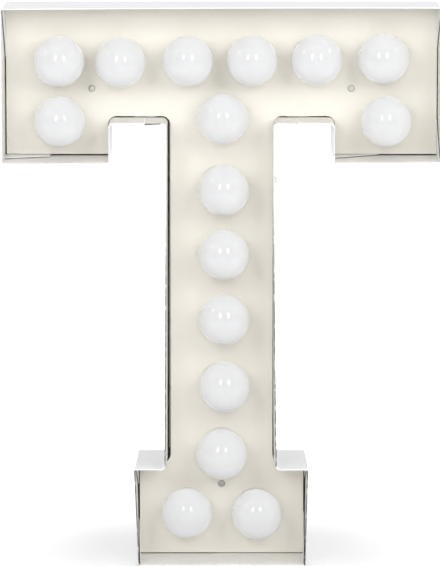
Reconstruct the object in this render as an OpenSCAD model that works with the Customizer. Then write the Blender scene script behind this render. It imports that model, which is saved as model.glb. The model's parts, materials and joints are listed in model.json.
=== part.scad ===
// Free-standing marquee letter: a sheet-metal slab-serif T with a recessed face plate
// and sixteen screw-in globe bulbs. Millimetres, +Z up, front towards -Y.
// The origin is the middle of the foot's underside.

/* [Letter] */
// Height of the letter
letter_h = 500; // [470:1:560]
// Width across the crossbar
bar_w = 390; // [375:1:430]
// Height of the crossbar between its serifs
bar_h = 102; // [95:1:112]
// Height of each serif, from the top of the letter
serif_h = 136; // [126:1:150]
// Width of each serif
serif_w = 96; // [88:1:104]
// Width of the stem
stem_w = 97; // [88:1:108]
// Width of the foot
foot_w = 153; // [140:1:180]
// Height of the foot
foot_h = 88; // [82:1:98]
// Depth from the front rim to the back
depth = 100; // [98:1:120]

/* [Sheet metal] */
// Thickness of the side walls
wall_t = 1; // [0.8:0.1:2]
// Thickness of the face plate
plate_t = 1.5; // [1:0.1:2.5]
// Thickness of the back panel and its lip
back_t = 1; // [0.8:0.1:2]
// Distance of the face plate behind the front rim
recess = 51; // [46:1:53]
// Gap between the face plate and the walls
plate_gap = 1.5; // [1:0.1:3]
// Gap between the back panel and the walls
lip_gap = 0.2; // [0.1:0.05:0.5]
// Depth of the back panel's lip
lip_d = 10; // [8:0.5:13]
// Bend radius inside the notches and above the foot
notch_bend = 5; // [3:0.5:8]
// Bend radius at the outer corners
corner_bend = 1.5; // [0.5:0.25:3]
// Gap between two wall strips where they meet
seam_gap = 0.3; // [0.1:0.1:0.6]
// Distance of the seam under the foot from the middle
foot_seam_x = 5; // [2:1:16]
// Distance of the seams in the notches from the stem
notch_seam_off = 20; // [17:1:26]
// Width of the strap behind each seam
strap_w = 20; // [16:1:24]
// Thickness of the strap behind each seam
strap_t = 1.2; // [0.8:0.1:2]

/* [Bulb layout] */
// Distance from each end of the crossbar to its outermost bulbs
bulb_side = 50; // [46:0.5:54]
// Distance from the top of the letter to the first row of bulbs
bulb_top = 48; // [44:0.5:52]
// Distance between the first and second rows of bulbs
row_gap = 53.5; // [51:0.5:58]
// Height of the lowest stem bulb above the foot's shoulders
stem_bulb_rise = 12; // [8:0.5:18]
// Distance between the two bulbs in the foot
foot_bulb_gap = 62; // [58:0.5:70]
// Height of the low face plate screw above the foot bulbs
low_screw_rise = 22; // [20:0.5:25]

/* [Bulbs] */
// Diameter of the glass globe
globe_d = 45; // [41:0.5:47]
// Distance from the face plate to the middle of the globe
globe_out = 30; // [29:0.5:33]
// Thickness of the glass
glass_t = 1; // [0.6:0.1:1.4]
// Diameter of the glass neck
neck_d = 19; // [18:0.5:20.5]
// Radius of the curve from the neck into the globe
neck_fillet = 8; // [5:0.5:10]
// Height of the cap's rim in front of the face plate
cap_rise = 1.5; // [0.5:0.25:2.5]
// Height of the cap's smooth skirt
skirt_h = 3.7; // [3:0.1:4.5]
// Diameter of the cap's thread over its crests
cap_d = 13.9; // [13.4:0.1:14.3]
// Depth of the thread
thread_depth = 0.75; // [0.5:0.05:0.9]
// Pitch of the thread
thread_pitch = 2.822; // [2.6:0.001:3]
// Turns of thread on the cap
thread_turns = 5; // [4:1:5]
// Height of the cone under the thread
cap_cone_h = 3.1; // [2.5:0.1:3.5]
// Height of the contact at the tip of the cap
tip_h = 3.2; // [2.5:0.1:3.5]
// Diameter of the contact at the tip of the cap
tip_d = 4.8; // [4:0.1:5.5]
// Thickness of the cap's sheet
cap_t = 0.5; // [0.4:0.05:0.7]

/* [Lampholders] */
// Gap between the glass neck and the mouth of the lampholder
neck_gap = 1; // [0.6:0.1:1.4]
// Wall of the lampholder's sleeve
holder_wall = 2.5; // [2:0.1:3]
// Length of the lampholder behind the front of the face plate
holder_back = 36; // [34:0.5:37]
// Height of the sleeve in front of the face plate
holder_front = 5.5; // [5:0.25:7]
// Width of the shoulder that bears on the back of the face plate
shoulder_w = 4; // [3:0.25:5]
// Thickness of that shoulder
shoulder_t = 3; // [2:0.25:4]
// Width of the clamping ring
ring_w = 5.3; // [4:0.1:6]
// Height of the clamping ring
ring_h = 5; // [4:0.25:5]
// Gap between the cap's thread and the thread shell
thread_gap = 0.35; // [0.3:0.05:0.5]
// Thickness of the thread shell
shell_t = 0.6; // [0.4:0.05:0.8]
// Diameter of the contact spring's disc
contact_d = 9; // [7:0.5:10]
// Height of the contact spring
contact_h = 3; // [2:0.25:3.5]
// Length of each terminal block
terminal_w = 12; // [11.5:0.25:13]
// Height of each terminal block
terminal_h = 3; // [2.5:0.25:3.5]

/* [Wiring and supply] */
// Diameter of the wires
wire_d = 1.9; // [1.6:0.1:2.1]
// Distance of the supply inlet and the switch from the middle of the stem
supply_x = 30; // [29:0.5:31.5]
// Width of the inlet's flange
inlet_flange_w = 22; // [21:0.5:26]
// Height of the inlet's flange
inlet_flange_h = 50; // [49:0.5:52]
// Distance between the inlet's screws
inlet_screw_gap = 40; // [38:0.5:41]
// Thickness of the inlet's flange
inlet_flange_t = 3; // [2:0.25:4]
// Depth of the inlet's body behind the panel
inlet_d = 17; // [16:0.5:19]
// Width of the switch's bezel
bezel_w = 15; // [15:0.5:18]
// Height of the switch's bezel
bezel_h = 21; // [21:0.5:24]
// Thickness of the switch's bezel
bezel_t = 2; // [1.5:0.25:2]
// Depth of the switch's body behind the panel
switch_d = 16; // [15:0.5:18]
// Width of the rocker
rocker_w = 11; // [10:0.25:11.5]
// Radius of the rocker's ends about its pivot
rocker_r = 8.4; // [8:0.1:8.6]
// Tilt of the rocker to either side of its middle
rocker_tilt = 10; // [8:0.5:11]

/* [Fasteners] */
// Diameter of the screw and rivet shanks
shank_d = 3; // [2.5:0.1:3.4]
// Diameter of the screw heads
head_d = 6.4; // [5.5:0.1:7]
// Height of the screw heads
head_h = 1.8; // [1.4:0.1:2.2]
// Width across the flats of the face plate's pillars
pillar_w = 7; // [6:0.5:8]
// Distance between the wall screws and the corners near them
screw_inset = 60; // [45:1:75]
// Distance between the hanging keyholes
keyhole_gap = 232; // [225:1:240]
// Diameter of a keyhole's round end
keyhole_d = 9; // [8:0.5:10]
// Width of a keyhole's slot
keyhole_slot = 5; // [4:0.25:5.5]
// Height of a keyhole's slot above its round end
keyhole_rise = 9; // [8:0.5:12]
// Distance of the keyholes below the top of the letter
keyhole_drop = 30; // [28:0.5:32]

/* [Hidden] */
$fn = 48;
top_count = 6;
stem_count = 5;
bend_steps = 6;
wire_sides = 6;
fit_gap = 0.05;
hole_gap = 0.15;
rest_gap = 0.3;
cut = 1;

// Planes through the depth of the letter
front_y = -depth / 2;
back_y = depth / 2;
plate_y = front_y + recess;
plate_back_y = plate_y + plate_t;
panel_y = back_y - back_t;
lip_y = panel_y - lip_d;

// Edges of the letter seen from the front
under_z = letter_h - bar_h;
serif_z = letter_h - serif_h;
notch_x = bar_w / 2 - serif_w;
notch_seam_x = stem_w / 2 + notch_seam_off;
lip_inset = wall_t + lip_gap;
plate_inset = wall_t + plate_gap;

// Axes of the lamps, as [x, z]: the top row, the second row, the stem and the foot
top_z = letter_h - bulb_top;
row_2_z = top_z - row_gap;
low_z = foot_h + stem_bulb_rise;
foot_z = foot_h / 2;
side_x = bar_w / 2 - bulb_side;
top_pitch = 2 * side_x / (top_count - 1);
stem_pitch = (row_2_z - low_z) / stem_count;
lamps = concat(
    [for (k = [0 : top_count - 1]) [k * top_pitch - side_x, top_z]],
    [for (s = [-1 : 1]) [s * side_x, row_2_z]],
    [for (k = [1 : stem_count]) [0, row_2_z - k * stem_pitch]],
    [for (s = [-1, 1]) [s * foot_bulb_gap / 2, foot_z]]
);
lamp_count = len(lamps);

// Lamps by their place in that list
top_left_mid = top_count / 2 - 1;
top_right_mid = top_count / 2;
row_2_left = top_count;
row_2_mid = row_2_left + 1;
row_2_right = row_2_left + 2;
stem_high = row_2_right + 1;
stem_low = row_2_right + stem_count;
foot_left = stem_low + 1;
foot_right = stem_low + 2;

// Pillars and screws that carry the face plate, as [x, z]
low_screw_z = foot_z + low_screw_rise;
pillars = [
    [top_pitch / 2 - side_x, (top_z + row_2_z) / 2],
    [side_x - top_pitch / 2, (top_z + row_2_z) / 2],
    [0, low_screw_z]
];
pillar_grip = 10;
plate_screw_l = plate_t + pillar_grip;
pillar_bore_d = 14;
wall_screw_tip = 3;
wall_screw_l = wall_t + lip_gap + back_t + wall_screw_tip;

// Stations along a lamp's axis, measured forwards from the front of the face plate
skirt_end = cap_rise - skirt_h;
thread_top = skirt_end - 1;
thread_end = thread_top - thread_turns * thread_pitch;
cone_end = thread_end - cap_cone_h;
tip_end = cone_end - tip_h;
contact_floor = tip_end - rest_gap - contact_h;
glass_end = cap_rise + 0.1;
glass_steps = 15;
tip_round = 0.5;

// Radii about a lamp's axis
globe_r = globe_d / 2;
neck_r = neck_d / 2;
mouth_r = neck_r + neck_gap;
holder_r = mouth_r + holder_wall;
ring_bore_r = holder_r + hole_gap;
ring_r = ring_bore_r + ring_w;
crest_r = cap_d / 2;
shell_r = crest_r + thread_gap + shell_t;
skirt_r = neck_r - glass_t;
shell_root_r = shell_r - 0.25;
contact_t = 0.6;
holder_taper = 3;
ring_round = 2;

// Where the curve of the neck is centred, and where it meets the globe
fillet_r = neck_r + neck_fillet;
fillet_z = globe_out - sqrt(pow(globe_r + neck_fillet, 2) - pow(fillet_r, 2));
fillet_turn = acos(fillet_r / (globe_r + neck_fillet));

// Terminal blocks behind each lampholder, live above and neutral below
terminal_y = plate_y + holder_back + terminal_h;
terminal_off = 5;
terminal_t = 4;
terminal_slots = 4;
slot_gap = 2.6;

// Wires leave a terminal straight, then bow back: live wires a little, neutral wires further
wire_lead = 1.2;
neutral_rise = panel_y - terminal_y - wire_d / 2 - cut - wire_lead;
live_rise = neutral_rise / 4;

// Supply inlet to the left of the stem's lampholders, and switch to the right, as [x, z]
supply_z = low_z + stem_pitch / 2;
inlet_at = [-supply_x, supply_z];
switch_at = [supply_x, supply_z];
inlet_floor = 2;
mouth_cut = 4;
inlet_body_w = 20;
inlet_body_h = 27.5;
inlet_mouth_w = 16.5;
inlet_mouth_h = 24;
inlet_back_y = back_y - inlet_d;
tab_w = 4.8;
tab_t = 0.8;
tab_h = 8;
tab_y = inlet_back_y - tab_h;
pin_gap = 14;
pin_off = 2;
pin_w = 4;
pin_t = 2;
nut_w = 5.5;
nut_h = 2.4;
switch_wall = 1;
switch_body_w = rocker_w + 2 * (rest_gap + switch_wall);
switch_body_h = 2 * (rocker_r + rest_gap + switch_wall);
switch_back_y = back_y - switch_d;
switch_tab_y = switch_back_y - tab_h;
switch_tab_off = 5;
pivot_rise = 0.1;
pivot_y = back_y + pivot_rise;
pivot_r = 1.2;
rocker_gap = 0.2;
rocker_q = bezel_t + rocker_gap;
rocker_back = 3.5;
cavity_d = 6;

// Earth stud below the inlet, with its eyelet and nut
earth_drop = 35;
earth_at = inlet_at - [0, earth_drop];
stud_r = 2;
stud_h = 10;
eyelet_r = 4.5;
eyelet_t = 3;
stud_nut_w = 7;
stud_nut_h = 3.2;

// Live, earth and neutral pins, as [x, z]
inlet_pin_places = [
    inlet_at + [pin_off, pin_gap / 2],
    inlet_at + [-pin_off, 0],
    inlet_at + [pin_off, -pin_gap / 2]
];

// Lanes that the supply wires take past the lampholders
feed_lead = 3;
lane_gap = 4;
lane_drop = 7;
lane_x = holder_r + lane_gap;
lane_front_y = tab_y - lane_drop;
lane_mid_y = (tab_y + terminal_y) / 2;
feed_drop = 6;
feed_y = terminal_y + feed_drop;

// Wall screws that hold the back panel's lip, as [x, z] on the right-hand side
screw_y = panel_y - lip_d / 2;
wall_screws = [
    [foot_w / 2, foot_z],
    [stem_w / 2, foot_h + screw_inset],
    [stem_w / 2, under_z - screw_inset],
    [bar_w / 2, letter_h - serif_h / 2]
];

// Straps behind the seams, as [x, z of the wall's inner face]
straps = [[-notch_seam_x, under_z + wall_t], [notch_seam_x, under_z + wall_t], [-foot_seam_x, wall_t]];
strap_front_gap = 2;
strap_back_gap = 1;
rivet_inset = 7;
strap_front_y = plate_back_y + strap_front_gap;
strap_back_y = lip_y - strap_back_gap;
rivet_y = [strap_front_y + rivet_inset, strap_back_y - rivet_inset];
rivet_head_h = 1;
rivet_head_d = 5.6;

// Links of the daisy chain, as [from lamp, to lamp, slot it leaves, slot it reaches]
shared_links = concat(
    [for (i = [stem_low : -1 : stem_high + 1]) [i, i - 1, 1, 3]],
    [[stem_high, row_2_mid, 1, 3], [row_2_mid, top_left_mid, 0, 3], [row_2_mid, top_right_mid, 1, 0]],
    [for (i = [top_left_mid : -1 : 1]) [i, i - 1, 0, 3]],
    [for (i = [top_right_mid : top_count - 2]) [i, i + 1, 3, 0]],
    [[0, row_2_left, 1, 3], [top_count - 1, row_2_right, 2, 3]]
);
live_links = concat(shared_links, [[stem_low, foot_right, 3, 0], [foot_right, foot_left, 2, 3]]);
neutral_links = concat(shared_links, [[stem_low, foot_left, 3, 0], [foot_left, foot_right, 2, 0]]);

function bulb_name(i, piece) = str("bulb_", i < 9 ? "0" : "", i + 1, "_", piece);

// Outline of the letter

function unit(v) = v / norm(v);

function arc(centre, r, from, to, steps) = [
    for (k = [0 : steps])
        let (a = from + (to - from) * k / steps)
        centre + r * [cos(a), sin(a)]
];

// A right-angled corner b between a and c, rounded to radius r
function bend(a, b, c, r) =
    let (into = unit(b - a), out = unit(c - b), centre = b + r * (out - into))
    r == 0 ? [b] : [
        for (k = [0 : bend_steps])
            let (turn = 90 * k / bend_steps)
            centre + r * (into * sin(turn) - out * cos(turn))
    ];

// Right-hand corners of the letter from the foot up, drawn in by a distance
function right_corners(inset) = [
    [foot_w / 2 - inset, inset],
    [foot_w / 2 - inset, foot_h - inset],
    [stem_w / 2 - inset, foot_h - inset],
    [stem_w / 2 - inset, under_z + inset],
    [notch_x + inset, under_z + inset],
    [notch_x + inset, serif_z + inset],
    [bar_w / 2 - inset, serif_z + inset],
    [bar_w / 2 - inset, letter_h - inset]
];

function mirrored(list) = [for (k = [len(list) - 1 : -1 : 0]) [-list[k][0], list[k][1]]];
function backwards(list) = [for (k = [len(list) - 1 : -1 : 0]) list[k]];

// The whole outline, drawn in by a distance, with its bends
function letter_outline(inset) =
    let (
        right = right_corners(inset),
        corners = concat(right, mirrored(right)),
        outer = max(corner_bend - inset, 0),
        inner = notch_bend + inset,
        half = [outer, outer, inner, inner, inner, outer, outer, outer],
        bends = concat(half, backwards(half)),
        count = len(corners)
    )
    [for (k = [0 : count - 1])
        each bend(corners[(k + count - 1) % count], corners[k], corners[(k + 1) % count], bends[k])];

module letter(inset) {
    polygon(letter_outline(inset));
}

// Extrudes a shape drawn as seen from the front between two planes of the depth
module slab(from_y, to_y) {
    translate([0, to_y, 0])
        rotate([90, 0, 0])
            linear_extrude(to_y - from_y)
                children();
}

// Extrudes a shape drawn in the Y-Z plane along X
module along_x(width) {
    rotate([90, 0, 90])
        translate([0, 0, -width / 2])
            linear_extrude(width)
                children();
}

// A round hole or rod along Y at a place seen from the front
module rod_y(place, r, from_y, to_y) {
    translate([place[0], to_y, place[1]])
        rotate([90, 0, 0])
            cylinder(r = r, h = to_y - from_y);
}

// A box along Y about a place seen from the front
module block_y(place, width, height, from_y, to_y) {
    translate([place[0] - width / 2, from_y, place[1] - height / 2])
        cube([width, to_y - from_y, height]);
}

// A pan-head screw along +Z: its head stands on z = 0 and its shank goes down
module pan_screw(length) {
    difference() {
        union() {
            cylinder(d1 = head_d, d2 = 0.7 * head_d, h = head_h);
            translate([0, 0, -length])
                cylinder(d = shank_d, h = length + head_h / 2);
        }
        for (turn = [0, 90])
            rotate([0, 0, turn])
                translate([-0.25 * head_d, -0.06 * head_d, head_h / 2])
                    cube([0.5 * head_d, 0.12 * head_d, head_h]);
    }
}

// Wall strips

module wall_ring() {
    difference() {
        letter(0);
        letter(wall_t);
    }
}

// Holes in the walls for the screws that hold the back panel, on both sides
module wall_screw_holes(r) {
    for (s = [-1, 1], p = wall_screws)
        translate([s * p[0], screw_y, p[1]])
            rotate([0, 90, 0])
                cylinder(r = r, h = 6 * wall_t, center = true);
}

module strap_rivets(strap) {
    for (s = [-1, 1], y = rivet_y)
        translate([strap[0] + s * strap_w * 0.3, y, strap[1]])
            children();
}

module rivet_holes() {
    for (strap = straps)
        strap_rivets(strap)
            cylinder(d = shank_d + 2 * fit_gap, h = 4 * (wall_t + strap_t), center = true);
}

// The walls of the letter within an area seen from the front
module wall_strip() {
    difference() {
        slab(front_y, back_y)
            intersection() {
                wall_ring();
                children();
            }
        wall_screw_holes(shank_d / 2 + hole_gap);
        rivet_holes();
    }
}

module bar_return() {
    color("whitesmoke")
        wall_strip()
            difference() {
                translate([-bar_w, serif_z - cut])
                    square([2 * bar_w, serif_h + 2 * cut]);
                translate([seam_gap / 2 - notch_seam_x, serif_z - 2 * cut])
                    square([2 * notch_seam_x - seam_gap, serif_h - bar_h / 2]);
            }
}

// One side of the stem and foot, from the seam in the notch to the seam under the foot
module stem_area(foot_edge) {
    translate([seam_gap / 2 - notch_seam_x, foot_h / 2])
        square([notch_seam_x - stem_w / 4, under_z]);
    translate([-foot_w, -cut])
        square([foot_w + foot_edge, foot_h + 2 * cut]);
}

module left_return() {
    color("whitesmoke")
        wall_strip()
            stem_area(-foot_seam_x - seam_gap / 2);
}

module right_return() {
    color("whitesmoke")
        wall_strip()
            mirror([1, 0])
                stem_area(foot_seam_x - seam_gap / 2);
}

module seam_straps() {
    color("lightgray")
        difference() {
            for (strap = straps)
                translate([strap[0] - strap_w / 2, strap_front_y, strap[1]])
                    cube([strap_w, strap_back_y - strap_front_y, strap_t]);
            rivet_holes();
        }
}

// Rivets are flush with the outside of the walls and headed on the straps
module seam_rivets() {
    color("silver")
        for (strap = straps)
            strap_rivets(strap) {
                translate([0, 0, -wall_t])
                    cylinder(d = shank_d, h = wall_t + strap_t + rivet_head_h / 2);
                translate([0, 0, strap_t])
                    cylinder(d1 = rivet_head_d, d2 = 0.6 * rivet_head_d, h = rivet_head_h);
            }
}

// Face plate and back panel

module face_plate() {
    color("cornsilk")
        difference() {
            slab(plate_y, plate_back_y)
                letter(plate_inset);
            for (p = lamps)
                rod_y(p, holder_r + hole_gap, plate_y - cut, plate_back_y + cut);
            for (p = pillars)
                rod_y(p, shank_d / 2 + hole_gap, plate_y - cut, plate_back_y + cut);
        }
}

module plate_pillars() {
    color("silver")
        for (p = pillars)
            difference() {
                translate([p[0], panel_y, p[1]])
                    rotate([90, 0, 0])
                        cylinder(d = pillar_w / cos(30), h = panel_y - plate_back_y, $fn = 6);
                rod_y(p, shank_d / 2 + fit_gap, plate_back_y - cut, plate_back_y + pillar_bore_d);
            }
}

module plate_screws() {
    color("gainsboro")
        for (p = pillars)
            translate([p[0], plate_y, p[1]])
                rotate([90, 0, 0])
                    pan_screw(plate_screw_l);
}

// A keyhole as seen from the front, with its round end at the bottom
module keyhole() {
    circle(d = keyhole_d);
    translate([0, keyhole_rise])
        circle(d = keyhole_slot);
    translate([-keyhole_slot / 2, 0])
        square([keyhole_slot, keyhole_rise]);
}

module back_panel() {
    color("whitesmoke")
        difference() {
            union() {
                slab(panel_y, back_y)
                    letter(lip_inset);
                slab(lip_y, back_y)
                    difference() {
                        letter(lip_inset);
                        letter(lip_inset + back_t);
                    }
            }
            slab(panel_y - cut, back_y + cut)
                for (s = [-1, 1])
                    translate([s * keyhole_gap / 2, letter_h - keyhole_drop])
                        keyhole();
            block_y(
                inlet_at, inlet_body_w + 2 * hole_gap, inlet_body_h + 2 * hole_gap,
                panel_y - cut, back_y + cut
            );
            for (s = [-1, 1])
                rod_y(
                    inlet_at + [0, s * inlet_screw_gap / 2], shank_d / 2 + hole_gap,
                    panel_y - cut, back_y + cut
                );
            block_y(
                switch_at, switch_body_w + 2 * hole_gap, switch_body_h + 2 * hole_gap,
                panel_y - cut, back_y + cut
            );
            wall_screw_holes(shank_d / 2 + fit_gap);
        }
}

module back_screws() {
    color("gainsboro")
        for (s = [-1, 1], p = wall_screws)
            translate([s * p[0], screw_y, p[1]])
                rotate([0, s * 90, 0])
                    pan_screw(wall_screw_l);
}

// Lamps

// Places a shape drawn about +Z on a lamp's axis, with z = 0 at the front of the face plate
module at_lamp(i) {
    translate([lamps[i][0], plate_y, lamps[i][1]])
        rotate([90, 0, 0])
            children();
}

module at_every_lamp() {
    for (i = [0 : lamp_count - 1])
        at_lamp(i)
            children();
}

// Crests and roots of a thread from the top down, as [radius, height]
function thread_points(root_r, tip_r, top) = concat(
    [for (k = [0 : thread_turns - 1])
        each [[root_r, top - k * thread_pitch], [tip_r, top - (k + 0.5) * thread_pitch]]],
    [[root_r, top - thread_turns * thread_pitch]]
);

// Outer curve of the glass from the rim of the neck to the crown, drawn in by a distance
function glass_curve(inset) = concat(
    [[neck_r - inset, glass_end]],
    arc([fillet_r, fillet_z], neck_fillet + inset, 180, 180 - fillet_turn, 6),
    let (step = (90 + fillet_turn) / glass_steps)
        arc([0, globe_out], globe_r - inset, step - fillet_turn, 90, glass_steps - 1)
);

module bulb_globe(i) {
    color("ivory")
        at_lamp(i)
            rotate_extrude()
                polygon(concat(glass_curve(0), backwards(glass_curve(glass_t))));
}

module bulb_cap(i) {
    color("silver")
        at_lamp(i)
            rotate_extrude()
                polygon(concat(
                    [[skirt_r, cap_rise], [skirt_r, skirt_end]],
                    thread_points(crest_r - thread_depth, crest_r, thread_top),
                    [[tip_d / 2, cone_end], [tip_d / 2, tip_end + tip_round]],
                    [[tip_d / 2 - tip_round, tip_end], [0, tip_end]],
                    [[0, cone_end], [tip_d / 2 - cap_t, cone_end + cap_t]],
                    [[crest_r - thread_depth - cap_t, thread_end], [crest_r - thread_depth - cap_t, thread_top]],
                    [[skirt_r - cap_t, skirt_end + cap_t], [skirt_r - cap_t, cap_rise]]
                ));
}

module lampholder_bodies() {
    color("white")
        at_every_lamp()
            rotate_extrude()
                polygon([
                    [0, -holder_back],
                    [holder_r - holder_taper / 3, -holder_back],
                    [holder_r, holder_taper - holder_back],
                    [holder_r, -plate_t - shoulder_t],
                    [holder_r + shoulder_w, -plate_t - shoulder_t],
                    [holder_r + shoulder_w, -plate_t],
                    [holder_r, -plate_t],
                    [holder_r, holder_front],
                    [mouth_r, holder_front],
                    [mouth_r, thread_top],
                    [shell_r + fit_gap, thread_top],
                    [shell_r + fit_gap, cone_end],
                    [contact_d / 2 + fit_gap, cone_end],
                    [contact_d / 2 + fit_gap, contact_floor],
                    [0, contact_floor]
                ]);
}

module lampholder_rings() {
    color("white")
        at_every_lamp()
            rotate_extrude()
                polygon([
                    [ring_bore_r, 0],
                    [ring_r, 0],
                    [ring_r, ring_h - ring_round],
                    [ring_r - 0.25 * ring_round, ring_h - 0.5 * ring_round],
                    [ring_r - 0.75 * ring_round, ring_h],
                    [ring_bore_r, ring_h]
                ]);
}

module thread_shells() {
    color("goldenrod")
        at_every_lamp()
            rotate_extrude()
                polygon(concat(
                    [[shell_r, cone_end], [shell_r, thread_top]],
                    thread_points(shell_root_r, shell_r - shell_t, thread_top),
                    [[shell_root_r, cone_end]]
                ));
}

module centre_contacts() {
    color("goldenrod")
        at_every_lamp()
            translate([0, 0, contact_floor])
                rotate_extrude()
                    polygon([
                        [0, 0],
                        [contact_d / 2, 0],
                        [contact_d / 2, contact_t],
                        [tip_d / 2, contact_t + 0.2 * contact_h],
                        [tip_d / 4, contact_h],
                        [0, contact_h]
                    ]);
}

// Terminal blocks lie across the diagonal, live above and neutral below
module terminal_blocks() {
    color("goldenrod")
        for (p = lamps, s = [-1, 1])
            translate([p[0] + s * terminal_off, terminal_y - terminal_h, p[1] + s * terminal_off])
                rotate([0, 45, 0])
                    translate([-terminal_w / 2, 0, -terminal_t / 2])
                        cube([terminal_w, terminal_h, terminal_t]);
}

// Wiring

// One slot of a lamp's terminal block: side is 1 for live and -1 for neutral
function slot(i, side, k) =
    let (along = (k - (terminal_slots - 1) / 2) * slot_gap / sqrt(2))
    [
        lamps[i][0] + side * terminal_off + along,
        terminal_y,
        lamps[i][1] + side * terminal_off - along
    ];

// A loop between two terminals that leaves them squarely and bows back by a rise
function loop_path(from, to, rise, steps = 8) = concat(
    [from],
    [for (k = [0 : steps])
        let (t = k / steps, across = 3 * t * t - 2 * t * t * t, bow = 1 - pow(1 - 2 * t, 4))
        from + (to - from) * across + [0, wire_lead + rise * bow, 0]],
    [to]
);

// A smooth curve through a few points
function smooth_path(p, steps = 4) = concat(
    [for (i = [0 : len(p) - 2], k = [0 : steps - 1])
        let (
            t = k / steps,
            a = p[max(i - 1, 0)],
            d = p[min(i + 2, len(p) - 1)]
        )
        0.5 * (2 * p[i] + (p[i + 1] - a) * t
            + (2 * a - 5 * p[i] + 4 * p[i + 1] - d) * t * t
            + (3 * p[i] - a - 3 * p[i + 1] + d) * t * t * t)],
    [p[len(p) - 1]]
);

// A run through a few points that leaves one end and reaches the other along the given leads
function run_path(from, from_lead, through, to, to_lead) = concat(
    [from],
    smooth_path(concat([from + from_lead], through, [to + to_lead])),
    [to]
);

// A point at a place seen from the front
function at_y(place, y) = [place[0], y, place[1]];

function heading(path, i) = unit(path[min(i + 1, len(path) - 1)] - path[max(i - 1, 0)]);

// A wire along a path; side_way is a direction that the path never takes
module wire(path, side_way) {
    rings = len(path);
    points = [
        for (i = [0 : rings - 1])
            let (t = heading(path, i), a = unit(cross(t, side_way)), b = cross(t, a))
            for (k = [0 : wire_sides - 1])
                let (turn = 360 * k / wire_sides)
                path[i] + wire_d / 2 * (cos(turn) * a + sin(turn) * b)
    ];
    skin = [
        for (i = [0 : rings - 2], k = [0 : wire_sides - 1])
            let (
                a = i * wire_sides + k,
                b = i * wire_sides + (k + 1) % wire_sides,
                c = a + wire_sides,
                d = b + wire_sides
            )
            each [[a, d, b], [a, c, d]]
    ];
    first = [for (k = [0 : wire_sides - 1]) k];
    last = [for (k = [wire_sides - 1 : -1 : 0]) (rings - 1) * wire_sides + k];
    polyhedron(points, concat(skin, [first, last]));
}

module lamp_chain(links, side, rise) {
    for (link = links) {
        from = slot(link[0], side, link[2]);
        to = slot(link[1], side, link[3]);
        wire(loop_path(from, to, rise), cross([0, 1, 0], to - from));
    }
}

// Live runs from the inlet across the stem to the switch, and back to the lowest stem lamp
module live_wires() {
    forwards = [0, -feed_lead, 0];
    reached = slot(stem_low, 1, 2);
    color("saddlebrown") {
        lamp_chain(live_links, 1, live_rise);
        wire(run_path(
            at_y(inlet_pin_places[0], tab_y), forwards,
            [for (s = [-1, 1]) [s * lane_x, lane_front_y, supply_z + 6]],
            at_y(switch_at + [0, switch_tab_off], switch_tab_y), forwards
        ), [0, 0, 1]);
        wire(run_path(
            at_y(switch_at - [0, switch_tab_off], switch_tab_y), forwards,
            [
                [lane_x + 5, tab_y - 3, low_z + 18],
                [lane_x + 1, lane_mid_y, low_z + 11],
                [lane_x - 3, feed_y - 2, low_z + 7],
                [reached[0] + 3, feed_y, reached[2] + 1]
            ],
            reached, -forwards
        ), [1, 0, -1]);
    }
}

module neutral_wires() {
    forwards = [0, -feed_lead, 0];
    reached = slot(stem_low, -1, 0);
    color("steelblue") {
        lamp_chain(neutral_links, -1, neutral_rise);
        wire(run_path(
            at_y(inlet_pin_places[2], tab_y), forwards,
            [
                [-lane_x - 5, tab_y - 3, low_z + 16],
                [-lane_x - 1, lane_mid_y, low_z + 8],
                [3 - lane_x, feed_y - 2, low_z + 1],
                [reached[0] - 3, feed_y, reached[2] + 1]
            ],
            reached, -forwards
        ), [1, 0, 1]);
    }
}

// Earth runs from the inlet's middle pin to the eyelet on the stud
module earth_wire() {
    color("yellowgreen")
        wire(run_path(
            at_y(inlet_pin_places[1], tab_y), [0, -feed_lead, 0],
            [
                [earth_at[0] - 7, tab_y - 3, supply_z - 12],
                [earth_at[0] - 6, (tab_y + panel_y) / 2, earth_at[1] + 18]
            ],
            at_y(earth_at + [0, eyelet_r], panel_y - eyelet_t / 2), [0, 0, feed_lead]
        ), [1, 0.2, 0.1]);
}

// A stud welded to the back panel, with its eyelet and nut
module earth_stud() {
    color("silver") {
        rod_y(earth_at, stud_r, panel_y - stud_h, panel_y);
        difference() {
            rod_y(earth_at, eyelet_r, panel_y - eyelet_t, panel_y);
            rod_y(earth_at, stud_r + fit_gap, panel_y - eyelet_t - cut, panel_y + cut);
        }
        difference() {
            translate(at_y(earth_at, panel_y - eyelet_t))
                rotate([90, 0, 0])
                    cylinder(d = stud_nut_w / cos(30), h = stud_nut_h, $fn = 6);
            rod_y(earth_at, stud_r + fit_gap, panel_y - stud_h, panel_y);
        }
    }
}

// Supply inlet

// The inlet's mouth, with two cut corners on its earth side
module inlet_mouth() {
    half_w = inlet_mouth_w / 2;
    half_h = inlet_mouth_h / 2;
    polygon([
        [half_w, half_h], [half_w, -half_h],
        [mouth_cut - half_w, -half_h], [-half_w, mouth_cut - half_h],
        [-half_w, half_h - mouth_cut], [mouth_cut - half_w, half_h]
    ]);
}

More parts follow.
